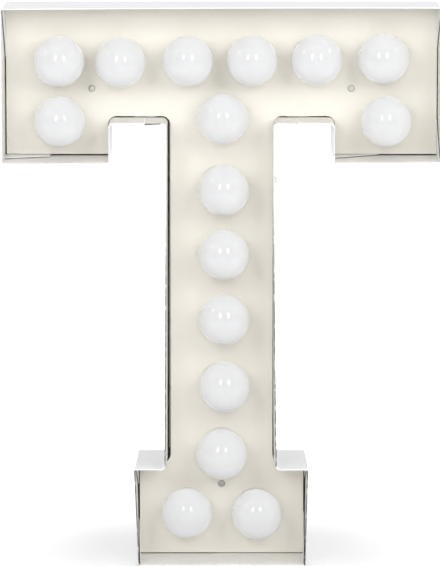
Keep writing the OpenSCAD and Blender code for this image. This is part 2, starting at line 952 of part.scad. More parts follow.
module inlet_body() {
    color("dimgray")
        difference() {
            union() {
                slab(back_y, back_y + inlet_flange_t)
                    translate(inlet_at)
                        intersection() {
                            square([inlet_flange_w, inlet_flange_h], center = true);
                            circle(d = inlet_flange_h);
                        }
                block_y(inlet_at, inlet_body_w, inlet_body_h, inlet_back_y, back_y + inlet_flange_t / 2);
            }
            slab(inlet_back_y + inlet_floor, back_y + inlet_flange_t + cut)
                translate(inlet_at)
                    inlet_mouth();
            for (s = [-1, 1])
                rod_y(
                    inlet_at + [0, s * inlet_screw_gap / 2], shank_d / 2 + hole_gap,
                    back_y - cut, back_y + inlet_flange_t + cut
                );
            for (p = inlet_pin_places)
                block_y(
                    p, pin_t + 2 * fit_gap, pin_w + 2 * fit_gap,
                    inlet_back_y - cut, inlet_back_y + inlet_floor + cut
                );
        }
}

module inlet_pins() {
    color("gold")
        for (p = inlet_pin_places) {
            block_y(p, pin_t, pin_w, inlet_back_y - 1, back_y - 1);
            block_y(p, tab_t, tab_w, tab_y, inlet_back_y - 0.5);
        }
}

// Screws through the inlet's flange, with their nuts behind the panel
module inlet_screws() {
    color("gainsboro")
        for (s = [-1, 1])
            translate(at_y(inlet_at + [0, s * inlet_screw_gap / 2], back_y + inlet_flange_t))
                rotate([-90, 0, 0]) {
                    pan_screw(inlet_flange_t + back_t + nut_h + cut);
                    difference() {
                        translate([0, 0, -inlet_flange_t - back_t - nut_h])
                            cylinder(d = nut_w / cos(30), h = nut_h, $fn = 6);
                        translate([0, 0, -inlet_flange_t - back_t - nut_h - cut])
                            cylinder(d = shank_d + 2 * fit_gap, h = nut_h + 2 * cut);
                    }
                }
}

// Rocker switch

module switch_housing() {
    color("dimgray")
        difference() {
            union() {
                block_y(switch_at, bezel_w, bezel_h, back_y, back_y + bezel_t);
                block_y(switch_at, switch_body_w, switch_body_h, switch_back_y, back_y + bezel_t / 2);
            }
            block_y(
                switch_at, rocker_w + 2 * rest_gap, 2 * (rocker_r + rest_gap),
                back_y - cavity_d, back_y + bezel_t + cut
            );
            translate(at_y(switch_at, pivot_y))
                along_x(switch_body_w - 0.6)
                    circle(r = pivot_r + fit_gap);
        }
}

// The rocker is drawn level and set at its off tilt
module switch_rocker() {
    rise = rocker_q + rocker_r * tan(rocker_tilt);
    color("darkslategray")
        translate(at_y(switch_at, pivot_y))
            rotate([-rocker_tilt, 0, 0]) {
                along_x(rocker_w)
                    intersection() {
                        circle(r = rocker_r);
                        polygon([
                            [-rocker_back, -rocker_r], [rise, -rocker_r], [rocker_q, 0],
                            [rise, rocker_r], [-rocker_back, rocker_r]
                        ]);
                    }
                along_x(switch_body_w - 1)
                    circle(r = pivot_r);
            }
}

module switch_terminals() {
    color("gold")
        for (s = [-1, 1])
            block_y(switch_at + [0, s * switch_tab_off], tab_w, tab_t, switch_tab_y, switch_back_y);
}

bar_return();
left_return();
right_return();
seam_straps();
seam_rivets();
face_plate();
plate_pillars();
plate_screws();
back_panel();
back_screws();
lampholder_bodies();
lampholder_rings();
thread_shells();
centre_contacts();
terminal_blocks();
live_wires();
neutral_wires();
earth_wire();
earth_stud();
inlet_body();
inlet_pins();
inlet_screws();
switch_housing();
switch_rocker();
switch_terminals();
for (i = [0 : lamp_count - 1]) {
    bulb_globe(i);
    bulb_cap(i);
}
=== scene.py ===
import json
import math

import bmesh
import bpy
from mathutils import Matrix, Vector


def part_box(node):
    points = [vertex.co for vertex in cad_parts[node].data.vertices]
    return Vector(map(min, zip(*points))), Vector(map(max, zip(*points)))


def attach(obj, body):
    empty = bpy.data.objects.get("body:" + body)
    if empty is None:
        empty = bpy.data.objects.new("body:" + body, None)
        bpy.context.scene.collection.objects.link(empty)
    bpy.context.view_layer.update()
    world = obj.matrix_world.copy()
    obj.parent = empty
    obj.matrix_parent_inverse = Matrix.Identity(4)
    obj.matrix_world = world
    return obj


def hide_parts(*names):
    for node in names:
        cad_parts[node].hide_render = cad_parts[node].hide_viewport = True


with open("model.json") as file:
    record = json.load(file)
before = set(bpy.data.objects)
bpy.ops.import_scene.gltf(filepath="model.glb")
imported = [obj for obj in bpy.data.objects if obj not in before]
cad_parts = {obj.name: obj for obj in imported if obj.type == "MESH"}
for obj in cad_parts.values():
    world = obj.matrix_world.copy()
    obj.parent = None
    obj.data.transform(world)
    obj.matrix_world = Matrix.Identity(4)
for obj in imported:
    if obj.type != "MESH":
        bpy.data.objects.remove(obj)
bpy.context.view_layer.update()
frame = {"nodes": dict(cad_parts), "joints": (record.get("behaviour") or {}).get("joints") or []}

# Units: the frame is in metres, and small sizes are written in millimetres.
MM = 0.001

# The letter's outline, from the middle of its foot.
LETTER_H = 500 * MM
HALF_BAR = 195 * MM
UNDER_Z = 398 * MM
SERIF_Z = 364 * MM
NOTCH_X = 99 * MM
HALF_STEM = 48.5 * MM
HALF_FOOT = 76.5 * MM
FOOT_H = 88 * MM

# The sheet walls: thickness, bends and the seams between the three strips.
WALL_T = 1 * MM
NOTCH_BEND = 5 * MM
NOTCH_TIGHT = 0.8 * MM
CORNER_BEND = 1.5 * MM
SEAM_GAP = 0.3 * MM
FOOT_SEAM_X = -5 * MM
NOTCH_SEAM_X = 68.5 * MM

# How the walls give: held at the back panel's lip, free to lean at the front rim.
HOLD_Y = 38 * MM
LEAN_POWER = 1.2
WALL_STEP = 7 * MM
DEPTH_STEPS = 14
RIM_STEPS = 4
BEND_STEPS = 6

# Where the front rims are darkened to a dark grey: how deep, below which height, and how gently it fades
# above.
DARK_RIM_DEPTH = 0.6 * MM
DARK_RIM_TOP = 340 * MM
DARK_RIM_FADE = 80 * MM
LEAST_DARKENING = 0.12

# Globes: body, neck and the hollow fillet between them.
NECK_R = 9.5 * MM
NECK_FILLET = 8 * MM
LATHE_STEPS = 64
GLOBE_STEPS = 40
FILLET_STEPS = 8

# Camera, as the photograph was taken: a long lens from a little above.
CAMERA_AT = (-0.0014, -3.638, 0.761)
CAMERA_TILT = math.radians(82.0)
CAMERA_LENS = 259.6

BULBS = [f"bulb_{number:02d}" for number in range(1, 17)]
FRONT_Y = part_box("bar_return")[0][1]
BACK_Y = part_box("bar_return")[1][1]
PLATE_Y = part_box("face_plate")[0][1]


# Meshes

def mesh_piece(name, verts, faces, smooth_angle=None):
    """A mesh object from points and faces; edges sharper than smooth_angle stay sharp."""
    mesh = bpy.data.meshes.new(name)
    mesh.from_pydata([tuple(v) for v in verts], [], faces)
    mesh.validate()
    solid = bmesh.new()
    solid.from_mesh(mesh)
    bmesh.ops.recalc_face_normals(solid, faces=solid.faces)
    solid.to_mesh(mesh)
    solid.free()
    if smooth_angle is not None:
        for face in mesh.polygons:
            face.use_smooth = True
        mesh.set_sharp_from_angle(angle=math.radians(smooth_angle))
    piece = bpy.data.objects.new(name, mesh)
    bpy.context.scene.collection.objects.link(piece)
    return piece


def lathe(name, profile, place, smooth_angle=40):
    """Turns a profile of (distance along +Y, radius) points about the Y axis through place."""
    verts = []
    rings = []
    for along, radius in profile:
        if radius < 1e-7:
            rings.append([len(verts)])
            verts.append(Vector((0, along, 0)))
            continue
        rings.append(list(range(len(verts), len(verts) + LATHE_STEPS)))
        for step in range(LATHE_STEPS):
            turn = 2 * math.pi * step / LATHE_STEPS
            verts.append(Vector((radius * math.cos(turn), along, radius * math.sin(turn))))
    faces = []
    for one, two in zip(rings, rings[1:]):
        for step in range(LATHE_STEPS):
            after = (step + 1) % LATHE_STEPS
            if len(one) == 1:
                faces.append((one[0], two[step], two[after]))
            elif len(two) == 1:
                faces.append((one[step], one[after], two[0]))
            else:
                faces.append((one[step], one[after], two[after], two[step]))
    moved = [Vector(place) + v for v in verts]
    return mesh_piece(name, moved, faces, smooth_angle)


# Shader nodes

def new_finish(name):
    """A node material: its tree and its principled shader."""
    finish = bpy.data.materials.new(name)
    finish.use_nodes = True
    tree = finish.node_tree
    return finish, tree, tree.nodes["Principled BSDF"]


def grow(tree, kind, inputs=None, **settings):
    """Adds a node; inputs maps its sockets to plain values or to other nodes' outputs."""
    made = tree.nodes.new(kind)
    for key, value in settings.items():
        setattr(made, key, value)
    for key, value in (inputs or {}).items():
        if isinstance(value, bpy.types.NodeSocket):
            tree.links.new(value, made.inputs[key])
        else:
            made.inputs[key].default_value = value
    return made


def surface_point(tree):
    """The point on the object, in the frame's metres."""
    return grow(tree, "ShaderNodeTexCoord").outputs["Object"]


def noise(tree, scale, detail=2.0, roughness=0.5, at=None):
    """Grey noise with features of about 1/scale metres."""
    point = at or surface_point(tree)
    inputs = {"Vector": point, "Scale": scale, "Detail": detail, "Roughness": roughness}
    return grow(tree, "ShaderNodeTexNoise", inputs).outputs["Fac"]


def spread(tree, value, low, high, out_low=0.0, out_high=1.0):
    """Maps value from low..high to out_low..out_high, clamped."""
    inputs = {"Value": value, "From Min": low, "From Max": high, "To Min": out_low, "To Max": out_high}
    return grow(tree, "ShaderNodeMapRange", inputs).outputs["Result"]


def times(tree, one, two):
    """The product of two values."""
    return grow(tree, "ShaderNodeMath", {0: one, 1: two}, operation="MULTIPLY").outputs[0]


def mixed(tree, share, one, two):
    """A colour between one and two; each is an RGB triple or another node's colour."""
    inputs = {0: share}
    for socket, colour in ((6, one), (7, two)):
        inputs[socket] = colour if isinstance(colour, bpy.types.NodeSocket) else (*colour, 1)
    return grow(tree, "ShaderNodeMix", inputs, data_type="RGBA").outputs[2]


def bumped(tree, shader, height, distance, strength=1.0):
    """Gives the shader a bump of that height map."""
    made = grow(tree, "ShaderNodeBump", {"Height": height, "Distance": distance, "Strength": strength})
    tree.links.new(made.outputs["Normal"], shader.inputs["Normal"])


def wire_up(tree, shader, **inputs):
    """Links or sets the shader's sockets, named with underscores for spaces."""
    for key, value in inputs.items():
        socket = shader.inputs[key.replace("_", " ")]
        if isinstance(value, bpy.types.NodeSocket):
            tree.links.new(value, socket)
        else:
            socket.default_value = value


# Finishes

WHITE = (0.875, 0.875, 0.885)
WHITE_SHADE = (0.845, 0.845, 0.85)
CREAM = (0.87, 0.841, 0.77)
CREAM_SHADE = (0.85, 0.817, 0.742)
MILK = (0.685, 0.687, 0.693)
MILK_SHADE = (0.665, 0.667, 0.673)
# A dark grey for the darkened front rims.
DARK_RIM_GREY = (0.10, 0.10, 0.105)


def attribute(tree, name):
    """A value that is kept on the mesh's points."""
    return grow(tree, "ShaderNodeAttribute", attribute_name=name).outputs["Fac"]


def powder_coat(name, colour, shade, waviness=0.0):
    """Satin powder coat: orange peel, a faint drift of tone, a patchy cream tint on the inner faces,
    specks of dust and front rims darkened in patches."""
    finish, tree, shader = new_finish(name)
    drift = spread(tree, noise(tree, 7, detail=4), 0.35, 0.65)
    coat = mixed(tree, drift, colour, shade)
    # A patchy cream tint on the inner faces of the walls.
    cream_tint = spread(tree, noise(tree, 25, detail=4), 0.3, 0.7, 0.4, 0.7)
    coat = mixed(tree, times(tree, attribute(tree, "inside"), cream_tint), coat, CREAM)
    specks = spread(tree, noise(tree, 1500, detail=1), 0.73, 0.78, 0.0, 0.35)
    coat = mixed(tree, specks, coat, [0.62 * c for c in shade])
    # The front rims that the mesh marks are darkened to a dark grey in patches.
    patchy = spread(tree, noise(tree, 160, detail=3), 0.25, 0.5)
    coat = mixed(tree, times(tree, attribute(tree, "dark_rim"), patchy), coat, DARK_RIM_GREY)
    gloss = spread(tree, noise(tree, 35, detail=3), 0.3, 0.7, 0.36, 0.50)
    peel = noise(tree, 850, detail=1.5)
    broad = spread(tree, noise(tree, 11, detail=1), 0, 1, 0, waviness)
    height = grow(tree, "ShaderNodeMath", {0: peel, 1: broad}, operation="ADD").outputs[0]
    bumped(tree, shader, height, 0.00006)
    wire_up(tree, shader, Base_Color=coat, Roughness=gloss)
    return finish


def opal_glass(name):
    """Glossy opal glass: milky body, faint mottling, a slow ripple in the gloss."""
    finish, tree, shader = new_finish(name)
    milk = mixed(tree, spread(tree, noise(tree, 60, detail=3), 0.35, 0.7), MILK, MILK_SHADE)
    gloss = spread(tree, noise(tree, 140, detail=2), 0.3, 0.7, 0.02, 0.045)
    bumped(tree, shader, noise(tree, 45, detail=1), 0.00005)
    wire_up(tree, shader, Base_Color=milk, Roughness=gloss)
    shader.inputs["Diffuse Roughness"].default_value = 1.0
    shader.inputs["Sheen Weight"].default_value = 0.3
    shader.inputs["Sheen Roughness"].default_value = 0.5
    shader.inputs["IOR"].default_value = 1.5
    return finish


def moulded(name, colour, gloss=0.35, grain=1300, depth=0.00003):
    """Moulded plastic: fine grain, slightly uneven gloss and tone."""
    finish, tree, shader = new_finish(name)
    drift = spread(tree, noise(tree, 90, detail=4), 0.3, 0.7)
    tone = mixed(tree, drift, colour, [0.88 * c for c in colour])
    rough = spread(tree, noise(tree, 240, detail=3), 0.3, 0.7, gloss - 0.05, gloss + 0.09)
    bumped(tree, shader, noise(tree, grain, detail=1), depth)
    wire_up(tree, shader, Base_Color=tone, Roughness=rough)
    return finish


def plated(name, colour, gloss=0.3, grain=260):
    """Plated or bare metal: streaky brushing, dulled and stained in patches."""
    finish, tree, shader = new_finish(name)
    stain = spread(tree, noise(tree, 130, detail=5), 0.42, 0.72)
    tone = mixed(tree, stain, colour, [0.62 * c for c in colour])
    stretched = grow(tree, "ShaderNodeMapping", {"Vector": surface_point(tree), "Scale": (9, 9, 1)})
    brush = noise(tree, grain, detail=3, at=stretched.outputs[0])
    rough = spread(tree, brush, 0.3, 0.7, gloss - 0.08, gloss + 0.14)
    bumped(tree, shader, brush, 0.00002)
    wire_up(tree, shader, Base_Color=tone, Roughness=rough)
    shader.inputs["Metallic"].default_value = 1.0
    return finish


def wire_skin(name, colour):
    """PVC wire covering: soft gloss, scuffs and a slightly lumpy extrusion."""
    finish, tree, shader = new_finish(name)
    marking = spread(tree, noise(tree, 420, detail=4), 0.55, 0.75, 0, 0.4)
    tone = mixed(tree, marking, colour, [0.5 * c + 0.15 for c in colour])
    bumped(tree, shader, noise(tree, 300, detail=2), 0.00006)
    rough = spread(tree, noise(tree, 90), 0.3, 0.7, 0.33, 0.5)
    wire_up(tree, shader, Base_Color=tone, Roughness=rough)
    return finish


WHITE_COAT = powder_coat("white_coat", WHITE, WHITE_SHADE, waviness=0.6)
CREAM_COAT = powder_coat("cream_coat", CREAM, CREAM_SHADE, waviness=1.2)
OPAL_GLASS = opal_glass("opal_glass")
WHITE_PLASTIC = moulded("white_plastic", (0.80, 0.79, 0.75))
BLACK_PLASTIC = moulded("black_plastic", (0.022, 0.022, 0.024), gloss=0.48, depth=0.00006)
ROCKER_PLASTIC = moulded("rocker_plastic", (0.03, 0.03, 0.033), gloss=0.26)
MARK_PAINT = moulded("mark_paint", (0.80, 0.80, 0.79), gloss=0.5)
ZINC = plated("zinc", (0.62, 0.63, 0.66), gloss=0.34)
SCREW_STEEL = plated("screw_steel", (0.62, 0.615, 0.6), gloss=0.5)
BRASS = plated("brass", (0.66, 0.47, 0.2), gloss=0.28)
NICKEL = plated("nickel", (0.66, 0.64, 0.6), gloss=0.2)
BROWN_PVC = wire_skin("brown_pvc", (0.075, 0.026, 0.009))
BLUE_PVC = wire_skin("blue_pvc", (0.012, 0.075, 0.32))
GREEN_PVC = wire_skin("green_pvc", (0.10, 0.26, 0.014))

NODE_FINISH = {
    "bar_return": WHITE_COAT,
    "left_return": WHITE_COAT,
    "right_return": WHITE_COAT,
    "back_panel": WHITE_COAT,
    "back_screws": WHITE_COAT,
    "face_plate": CREAM_COAT,
    "seam_straps": ZINC,
    "seam_rivets": ZINC,
    "plate_pillars": ZINC,
    "earth_stud": ZINC,
    "inlet_screws": ZINC,
    "plate_screws": SCREW_STEEL,
    "lampholder_bodies": WHITE_PLASTIC,
    "lampholder_rings": WHITE_PLASTIC,
    "thread_shells": BRASS,
    "centre_contacts": BRASS,
    "terminal_blocks": BRASS,
    "switch_terminals": BRASS,
    "inlet_pins": NICKEL,
    "live_wires": BROWN_PVC,
    "neutral_wires": BLUE_PVC,
    "earth_wire": GREEN_PVC,
    "inlet_body": BLACK_PLASTIC,
    "switch_housing": BLACK_PLASTIC,
    "switch_rocker": ROCKER_PLASTIC,
}
NODE_FINISH.update({f"{bulb}_globe": OPAL_GLASS for bulb in BULBS})
NODE_FINISH.update({f"{bulb}_cap": NICKEL for bulb in BULBS})


def dress_nodes():
    """Every CAD node takes its finish in all its material slots."""
    for name, finish in NODE_FINISH.items():
        slots = frame["nodes"][name].material_slots
        for place in slots:
            place.material = finish
        if not slots:
            frame["nodes"][name].data.materials.append(finish)


# Walls: sheet strips bent round the outline, that lean and belly as thin sheet does

def corner(x, z, lean=(0, 0), bow=0.0, belly=0.0, marking=0.0):
    """A corner of the outline. lean is how far the front rim stands off there, and bow and belly
    are how far the wall that follows bulges outwards at its rim and at mid depth, in millimetres.
    The last argument is how far that wall's front rim is darkened to a dark grey, from 0 to 1."""
    return {"at": Vector((x, z)), "lean": Vector(lean) * MM, "bow": bow * MM, "belly": belly * MM,
            "marking": marking}


BAR_STRIP = [
    corner(NOTCH_SEAM_X + SEAM_GAP / 2, UNDER_Z, lean=(0, 0.3), belly=-0.3),
    corner(NOTCH_X, UNDER_Z, belly=-0.5),
    corner(NOTCH_X, SERIF_Z, lean=(0.3, -1.2), belly=-0.5),
    corner(HALF_BAR, SERIF_Z, lean=(0, -0.7), belly=-0.6),
    corner(HALF_BAR, LETTER_H, lean=(0, 1.3), bow=0.6, belly=-0.7),
    corner(-HALF_BAR, LETTER_H, belly=-0.3),
    corner(-HALF_BAR, SERIF_Z, lean=(0, -1.4), belly=-0.5, marking=0.2),
    corner(-NOTCH_X, SERIF_Z, lean=(-0.3, -1.2), belly=-0.5),
    corner(-NOTCH_X, UNDER_Z, belly=-0.2),
    corner(-NOTCH_SEAM_X - SEAM_GAP / 2, UNDER_Z, lean=(0, 0.3)),
]
RIGHT_STRIP = [
    corner(FOOT_SEAM_X + SEAM_GAP / 2, 0, lean=(0, 0.3), belly=-0.8),
    corner(HALF_FOOT, 0, lean=(-1.4, 0), belly=0.3),
    corner(HALF_FOOT, FOOT_H, lean=(1.0, 0.4), belly=-0.6),
    corner(HALF_STEM, FOOT_H, lean=(0.9, 0.4), bow=-0.7, belly=-0.6),
    corner(HALF_STEM, UNDER_Z, lean=(-1.8, 0), belly=-0.3),
    corner(NOTCH_SEAM_X - SEAM_GAP / 2, UNDER_Z, lean=(0, -0.4)),
]
LEFT_STRIP = [
    corner(-NOTCH_SEAM_X + SEAM_GAP / 2, UNDER_Z, lean=(0, -0.9), belly=-0.3, marking=1.0),
    corner(-HALF_STEM, UNDER_Z, lean=(-1.2, -0.3), bow=-0.3, belly=0.5),
    corner(-HALF_STEM, FOOT_H, lean=(-2.6, 0.5), belly=-0.6),
    corner(-HALF_FOOT, FOOT_H, lean=(-1.8, 0.6), belly=0.1),
    corner(-HALF_FOOT, 0, lean=(2.1, 0), belly=-0.6),
    corner(FOOT_SEAM_X - SEAM_GAP / 2, 0),
]


def outward(way):
    """The normal on the right of a direction, which faces out of the outline."""
    return Vector((way.y, -way.x))


def give_along(here, there, side, share):
    """The front rim's lean and the wall's belly at a share of the way from one corner to the next."""
    lean = here["lean"].lerp(there["lean"], share) + side * here["bow"] * 4 * share * (1 - share)
    return lean, side * here["belly"]


def give_at(lean, belly, y):
    """How far the wall stands off at that depth."""
    free = min(max(0.0, (HOLD_Y - y) / (HOLD_Y - FRONT_Y)), 1.0)
    return lean * free ** LEAN_POWER + belly * math.sin(math.pi * free)


def stations(strip):
    """Places along a strip: point, outward normal, and the wall's lean, belly and rim darkening there."""
    ways = [(b["at"] - a["at"]).normalized() for a, b in zip(strip, strip[1:])]
    bends = [0.0]
    for before, after in zip(ways, ways[1:]):
        bends.append(CORNER_BEND if before.cross(after) > 0 else NOTCH_BEND)
    bends.append(0.0)
    found = []
    for index, way in enumerate(ways):
        here, there = strip[index], strip[index + 1]
        start = here["at"] + way * bends[index]
        end = there["at"] - way * bends[index + 1]
        count = max(2, round((end - start).length / WALL_STEP))
        side = outward(way)
        for step in range(count + 1):
            share = step / count
            give = give_along(here, there, side, share)
            found.append((start.lerp(end, share), side, *give, here["marking"]))
        if index + 1 < len(ways):
            found += bend_stations(here["belly"], there, way, ways[index + 1], bends[index + 1])
    return found


def bend_stations(belly, turn_at, way, next_way, radius):
    """Places round a bend, without its two ends. A bend in a notch is tighter towards the front."""
    convex = way.cross(next_way) > 0
    centre = turn_at["at"] + radius * (next_way - way)
    found = []
    for step in range(1, BEND_STEPS):
        share = step / BEND_STEPS
        turn = math.pi / 2 * share
        arm = radius * (way * math.sin(turn) - next_way * math.cos(turn))
        side = arm.normalized() if convex else -arm.normalized()
        tight = 0.0 if convex else NOTCH_TIGHT * math.sin(math.pi * share)
        bulge = belly + (turn_at["belly"] - belly) * share - tight / 2
        found.append((centre + arm, side, turn_at["lean"] - side * tight, side * bulge, 0.0))
    return found


def wall_section():
    """The sheet's cut, from the back round the front rim to the back: (depth in from the outer face, y)."""
    round_r = WALL_T / 2
    reach = FRONT_Y + round_r - BACK_Y
    outer = [(0.0, BACK_Y + reach * step / DEPTH_STEPS) for step in range(DEPTH_STEPS + 1)]
    rim = []
    for step in range(1, RIM_STEPS):
        turn = math.pi * step / RIM_STEPS
        rim.append((round_r - round_r * math.cos(turn), FRONT_Y + round_r - round_r * math.sin(turn)))
    inner = [(WALL_T, y) for depth, y in reversed(outer)]
    return outer + rim + inner


def dark_rim_at(side, marking, y, z):
    """Upright front rims are darkened, more so towards the floor; other rims as far as their corner says.
    """
    upright = abs(side.x) >= 0.9
    if y > FRONT_Y + DARK_RIM_DEPTH:
        return 0.0
    if not upright:
        return marking
    return min(max((DARK_RIM_TOP - z) / DARK_RIM_FADE, LEAST_DARKENING), 1.0)


def wall_piece(name, strip):
    """One bent strip of the wall, with its rim rounded and its ends closed."""
    section = wall_section()
    places = stations(strip)
    verts, dark_rim, inside = [], [], []
    for point, side, lean, belly, marking in places:
        for depth, y in section:
            spot = point - side * depth + give_at(lean, belly, y)
            verts.append(Vector((spot.x, y, spot.y)))
            dark_rim.append(dark_rim_at(side, marking, y, spot.y))
            inside.append(1.0 if depth == WALL_T else 0.0)
    row = len(section)
    faces = [tuple(range(row)), tuple(range(len(verts) - row, len(verts)))]
    for first in range(0, len(verts) - row, row):
        for step in range(row):
            after = (step + 1) % row
            faces.append((first + step, first + after, first + row + after, first + row + step))
    piece = mesh_piece(name, verts, faces, smooth_angle=50)
    for kind, values in (("dark_rim", dark_rim), ("inside", inside)):
        piece.data.attributes.new(kind, "FLOAT", "POINT").data.foreach_set("value", values)
    return piece


def make_walls():
    """The three strips stand in for their CAD nodes."""
    strips = {"bar_return": BAR_STRIP, "left_return": LEFT_STRIP, "right_return": RIGHT_STRIP}
    for node, strip in strips.items():
        piece = wall_piece(f"{node}_sheet", strip)
        piece.data.materials.append(WHITE_COAT)
        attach(piece, "letter")
        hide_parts(node)


# Corner tabs: flaps that stiffen the corners of the tray, bent in over the gap round the plate

TAB_T = 0.6 * MM
TAB_STEPS = 8
TAB_START = 0.8 * MM
TAB_INSET = 1.5 * MM
TAB_LAP = 0.3 * MM
TAB_OFF = 0.5 * MM
TAB_RISE = 0.35 * MM

# Each tab: its wall and the end of it, its length, and the share of the tray's depth that it covers at
# its corner and at its far end
TABS = [
    (BAR_STRIP, 5, "start", 46 * MM, 1.0, 0.03),
    (BAR_STRIP, 3, "end", 38 * MM, 1.0, 0.03),
    (BAR_STRIP, 3, "start", 34 * MM, 1.0, 0.03),
    (BAR_STRIP, 6, "start", 42 * MM, 0.55, 0.28),
    (BAR_STRIP, 2, "start", 41 * MM, 0.5, 0.03),
    (LEFT_STRIP, 3, "start", 22 * MM, 1.0, 0.03),
    (LEFT_STRIP, 3, "end", 33 * MM, 1.0, 0.03),
    (RIGHT_STRIP, 1, "end", 16 * MM, 1.0, 0.03),
    (RIGHT_STRIP, 1, "start", 40 * MM, 1.0, 0.03),
]


def tab_points(strip, wall, end, length, reach, far_reach):
    """Two layers of points of a flap on a wall, each in rows from its front edge to the face plate."""
    here, there = strip[wall], strip[wall + 1]
    span = (there["at"] - here["at"]).length
    side = outward((there["at"] - here["at"]).normalized())
    front, back = FRONT_Y + TAB_INSET, PLATE_Y + TAB_LAP
    layers = ([], [])
    for row in range(TAB_STEPS + 1):
        deep = row / TAB_STEPS
        for column in range(TAB_STEPS + 1):
            out = column / TAB_STEPS
            forward = reach + (far_reach - reach) * out
            y = back + (front - back) * forward * (1 - deep)
            along = TAB_START + out * (length - TAB_START)
            share = (along if end == "start" else span - along) / span
            lean, belly = give_along(here, there, side, share)
            spot = here["at"].lerp(there["at"], share) + give_at(lean, belly, y)
            lift = WALL_T + TAB_OFF + TAB_RISE * (1 - deep)
            for layer, depth in zip(layers, (lift, lift + TAB_T)):
                flat = spot - side * depth
                layer.append(Vector((flat.x, y, flat.y)))
    return layers


def make_corner_tabs():
    """All the flaps as one piece."""
    verts, faces = [], []
    row = TAB_STEPS + 1
    for tab in TABS:
        under, over = tab_points(*tab)
        first, second = len(verts), len(verts) + len(under)
        verts += under + over
        for i in range(TAB_STEPS):
            for j in range(TAB_STEPS):
                quad = (i * row + j, i * row + j + 1, (i + 1) * row + j + 1, (i + 1) * row + j)
                faces.append(tuple(first + k for k in quad))
                faces.append(tuple(second + k for k in reversed(quad)))
        edge = list(range(row)) + [i * row + TAB_STEPS for i in range(1, row)]
        edge += [TAB_STEPS * row + j for j in range(TAB_STEPS - 1, -1, -1)]
        edge += [i * row for i in range(TAB_STEPS - 1, 0, -1)]
        for k, point in enumerate(edge):
            after = edge[(k + 1) % len(edge)]
            faces.append((first + point, first + after, second + after, second + point))
    piece = mesh_piece("corner_tabs", verts, faces, smooth_angle=40)
    piece.data.materials.append(WHITE_COAT)
    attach(piece, "letter")


# Globes

def globe_profile(radius, back):
    """Profile of a globe and its neck, from the front pole to the neck's back end."""
    reach = radius + NECK_FILLET
    fillet_at = math.sqrt(reach ** 2 - (NECK_R + NECK_FILLET) ** 2)
    meets = math.atan2(NECK_R + NECK_FILLET, fillet_at)
    profile = [(-radius, 0.0)]
    for step in range(1, GLOBE_STEPS + 1):
        turn = (math.pi - meets) * step / GLOBE_STEPS
        profile.append((-radius * math.cos(turn), radius * math.sin(turn)))
    for step in range(1, FILLET_STEPS + 1):
        turn = meets + (math.pi / 2 - meets) * step / FILLET_STEPS
        profile.append((fillet_at - NECK_FILLET * math.cos(turn),
                        NECK_R + NECK_FILLET - NECK_FILLET * math.sin(turn)))
    profile.append((back, NECK_R))
    profile.append((back, 0.0))
    return profile


# How far each globe's middle stands to the right of its axis and above it, in millimetres
ASKEW = [
    (0.9, 0.0), (-2.6, -0.9), (-0.9, 0.4), (-1.8, 0.9), (-2.5, 1.3), (-1.3, 2.5),
    (1.3, 0.0), (1.3, 2.2), (1.3, 0.0),
    (2.1, -1.8), (2.2, 0.0), (2.5, 1.2), (2.8, 0.3), (0.3, -1.5),
    (0.0, 0.4), (0.6, -0.4),
]


def tip_over(piece, centre, askew):
    """Tips a globe about the mouth of its lampholder, so that its middle moves by askew."""
    mouth = Vector((centre.x, PLATE_Y, centre.z))
    straight = centre - mouth
    right, up = askew
    tipped = Vector((right * MM, straight.y, up * MM))
    turn = straight.rotation_difference(tipped).to_matrix().to_4x4()
    piece.data.transform(Matrix.Translation(mouth) @ turn @ Matrix.Translation(-mouth))


def make_globes():
    """A smooth blown globe stands in for each CAD globe and turns with it."""
    for bulb, askew in zip(BULBS, ASKEW):
        node = f"{bulb}_globe"
        low, high = (Vector(end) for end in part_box(node))
        radius = (high.x - low.x) / 2
        centre = Vector(((low.x + high.x) / 2, low.y + radius, (low.z + high.z) / 2))
        piece = lathe(f"{bulb}_glass", globe_profile(radius, high.y - centre.y), centre)
        tip_over(piece, centre, askew)
        piece.data.materials.append(OPAL_GLASS)
        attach(piece, node)
        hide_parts(node)


# Rocker marks: a bar and a ring moulded on the rocker's two faces

ROCKER_TILT = math.radians(10)
ROCKER_CREASE = 2.2 * MM
MARK_OUT = 4.0 * MM
MARK_H = 3.6 * MM
MARK_W = 0.6 * MM
MARK_T = 0.3 * MM
MARK_PROUD = 0.1 * MM


def round_ended(width, height, steps=12):
    """A loop of (x, z) points round an upright bar with half-round ends."""
    radius = width / 2
    loop = []
    for end in (1, -1):
        for step in range(steps + 1):
            turn = math.pi * step / steps
            up = height / 2 - radius + radius * math.sin(turn)
            loop.append((end * radius * math.cos(turn), end * up))
    return loop


def circle(radius, steps=40):
    """A round loop of (x, z) points."""
    turns = [2 * math.pi * step / steps for step in range(steps)]
    return [(radius * math.cos(turn), radius * math.sin(turn)) for turn in turns]


def slab(outer, inner=None):
    """Points and faces of a thin slab inside a loop or between two loops, with its outer face at y = 0."""
    loops = [outer, inner] if inner else [outer]
    count = len(outer)
    verts = [Vector((x, y, z)) for loop in loops for y in (0.0, -MARK_T) for x, z in loop]
    pairs = [(2 * count * number, 2 * count * number + count) for number in range(len(loops))]
    if inner:
        pairs += [(0, 2 * count), (count, 3 * count)]
        faces = []
    else:
        faces = [tuple(range(count)), tuple(range(count, 2 * count))]
    for one, two in pairs:
        for step in range(count):
            after = (step + 1) % count
            faces.append((one + step, one + after, two + after, two + step))
    return verts, faces


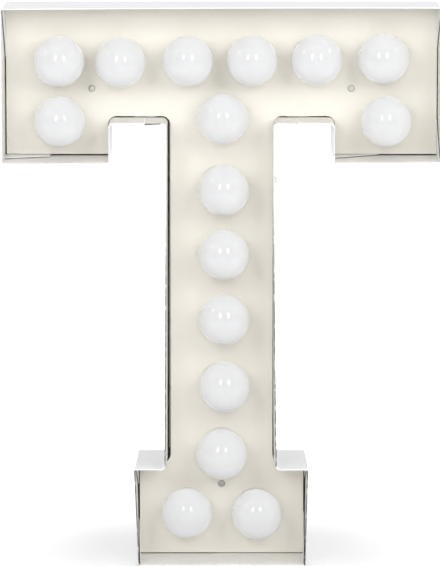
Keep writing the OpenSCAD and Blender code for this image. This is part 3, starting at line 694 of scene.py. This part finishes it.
def make_rocker_marks():
    """The marks lie on the rocker as it rests, where its lower face is upright, and tilt with it."""
    joint = next(joint for joint in frame["joints"] if joint["name"] == "rocker_tilt")
    set_over = Matrix.Rotation(-ROCKER_TILT, 4, "X")
    crease = Matrix.Translation(Vector(joint["pos_m"]) + set_over @ Vector((0, ROCKER_CREASE, 0)))
    upper = crease @ set_over @ set_over @ Matrix.Translation((0, MARK_PROUD, MARK_OUT))
    lower = crease @ Matrix.Translation((0, MARK_PROUD, -MARK_OUT))
    bar = slab(round_ended(MARK_W, MARK_H))
    ring = slab(circle(MARK_H / 2), circle(MARK_H / 2 - MARK_W))
    verts, faces = [], []
    for place, (points, sides) in ((upper, bar), (lower, ring)):
        faces += [tuple(len(verts) + corner_at for corner_at in side) for side in sides]
        verts += [place @ point for point in points]
    piece = mesh_piece("rocker_marks", verts, faces, smooth_angle=40)
    piece.data.materials.append(MARK_PAINT)
    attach(piece, "rocker")


# Studio

def either(tree, one, two):
    """1 where either of two ray flags is set."""
    return grow(tree, "ShaderNodeMath", {0: one, 1: two}, operation="MAXIMUM").outputs[0]


def seen_directly(tree):
    """1 for rays that show the background: from the camera, a gloss or through glass."""
    path = grow(tree, "ShaderNodeLightPath")
    straight = either(tree, path.outputs["Is Camera Ray"], path.outputs["Is Glossy Ray"])
    return either(tree, straight, path.outputs["Is Transmission Ray"])


def make_world(front=0.86, back=0.3, above=0.7):
    """White where it is seen. Elsewhere a soft fill: stronger from the front, weaker from above."""
    world = bpy.data.worlds.new("studio")
    bpy.context.scene.world = world
    world.use_nodes = True
    tree = world.node_tree
    backdrop = tree.nodes["Background"]
    backdrop.inputs["Color"].default_value = (1, 1, 1, 1)
    way = grow(tree, "ShaderNodeSeparateXYZ", {0: grow(tree, "ShaderNodeTexCoord").outputs["Generated"]})
    fill = times(tree, spread(tree, way.outputs["Y"], -1, 1, front, back),
                 spread(tree, way.outputs["Z"], 0, 1, 1.0, above))
    strength = grow(tree, "ShaderNodeMix", {"Factor": seen_directly(tree), "A": fill, "B": 1.0})
    tree.links.new(strength.outputs[0], backdrop.inputs["Strength"])


def make_floor(size=30.0, near=0.12, far=0.6, near_glow=0.22):
    """A pale floor that reads as white from far on, and keeps the object's shadow nearer to it."""
    half = size / 2
    corners = [(-half, -half, 0), (half, -half, 0), (half, half, 0), (-half, half, 0)]
    floor = mesh_piece("floor", corners, [(0, 1, 2, 3)])
    finish, tree, shader = new_finish("floor_paint")
    tone = mixed(tree, noise(tree, 3, detail=3), (0.80, 0.80, 0.80), (0.77, 0.77, 0.77))
    wire_up(tree, shader, Base_Color=tone, Roughness=0.9)
    shader.inputs["Emission Color"].default_value = (1, 1, 1, 1)
    reach = grow(tree, "ShaderNodeVectorMath", {0: surface_point(tree)}, operation="LENGTH")
    glow = spread(tree, reach.outputs["Value"], near, far, near_glow, 1.0)
    tree.links.new(times(tree, seen_directly(tree), glow), shader.inputs["Emission Strength"])
    floor.data.materials.append(finish)


def softbox(name, azimuth, elevation, distance, width, height, power, aim=(0, 0, 0.36), glint=True):
    """A soft light that faces aim. Azimuth 0 is in front, and positive is to the right.
    Without glint it lights surfaces and leaves no highlight."""
    az, el = math.radians(azimuth), math.radians(elevation)
    arm = Vector((math.sin(az) * math.cos(el), -math.cos(az) * math.cos(el), math.sin(el)))
    lamp = bpy.data.lights.new(name, "AREA")
    lamp.shape = "RECTANGLE"
    lamp.size = width
    lamp.size_y = height
    lamp.energy = power
    holder = bpy.data.objects.new(name, lamp)
    holder.location = Vector(aim) + arm * distance
    holder.rotation_euler = (-arm).to_track_quat("-Z", "Y").to_euler()
    holder.visible_glossy = glint
    holder.visible_camera = False
    bpy.context.scene.collection.objects.link(holder)


def make_lights():
    """Two strips near the lens and two small lamps at the sides make the glints. The rest is soft."""
    softbox("strip_left", -20, 22, 1.7, 0.3, 0.66, 4.4)
    softbox("strip_right", 20, 22, 1.7, 0.3, 0.66, 4.4)
    softbox("spot_left", -74, 36, 1.8, 0.2, 0.2, 0.9)
    softbox("spot_right", 74, 36, 1.8, 0.2, 0.2, 0.9)
    softbox("side_left", -48, 14, 1.7, 1.4, 0.8, 4.6, aim=(0, 0, 0.46), glint=False)
    softbox("side_right", 48, 14, 1.7, 1.4, 0.8, 7.0, aim=(0, 0, 0.46), glint=False)
    softbox("front", 0, 10, 2.5, 0.8, 0.8, 8.2, aim=(0, 0, 0.3), glint=False)
    softbox("overhead", 0, 90, 2.0, 1.2, 0.8, 10.4, glint=False)
    softbox("rear_left", -145, 3, 1.8, 1.4, 0.6, 4.5, glint=False)
    softbox("rear_right", 145, 3, 1.8, 1.4, 0.6, 3.6, glint=False)


def make_camera():
    """The photograph's viewpoint."""
    lens = bpy.data.cameras.new("camera")
    lens.lens = CAMERA_LENS
    lens.sensor_width = 36
    lens.clip_end = 100
    holder = bpy.data.objects.new("camera", lens)
    holder.location = CAMERA_AT
    holder.rotation_euler = (CAMERA_TILT, 0, 0)
    bpy.context.scene.collection.objects.link(holder)
    bpy.context.scene.camera = holder


make_camera()
make_world()
make_floor()
make_lights()
dress_nodes()
make_walls()
make_corner_tabs()
make_globes()
make_rocker_marks()

bpy.context.scene.view_settings.view_transform = "Standard"
